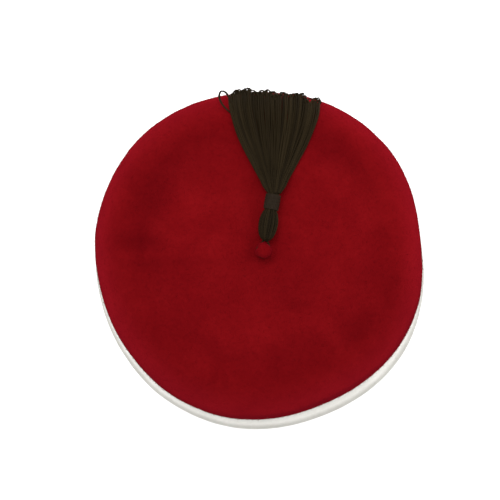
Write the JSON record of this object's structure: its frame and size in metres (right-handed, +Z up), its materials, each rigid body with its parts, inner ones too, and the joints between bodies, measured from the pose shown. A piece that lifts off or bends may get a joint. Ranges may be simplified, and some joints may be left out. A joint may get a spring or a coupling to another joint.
{
  "type": "fez hat",
  "caption": "Soft low fez of dark red wool felt with a short felt stalk, a white felt band flaring out under its rim, and a black cord tassel fanned over the back.",
  "frame": {"origin": "middle of the rim's footprint, on the surface that the hat stands on", "axes": "+Z up, -Y to the wearer's front, +Y to the back where the tassel falls, +X to the wearer's left"},
  "size_m": [0.1921, 0.1944, 0.0892],
  "materials": {
    "red_felt": "soft napped wool felt, matt",
    "white_felt": "soft cream white felt, matt",
    "black_cord": "twisted black-brown cord",
    "binding_thread": "smooth wound thread"
  },
  "bodies": {
    "root": {"crown": "red_felt", "inner_band": "white_felt", "tassel": "black_cord", "neck_binding": "binding_thread", "tassel_loop": "black_cord"}
  },
  "joints": []
}
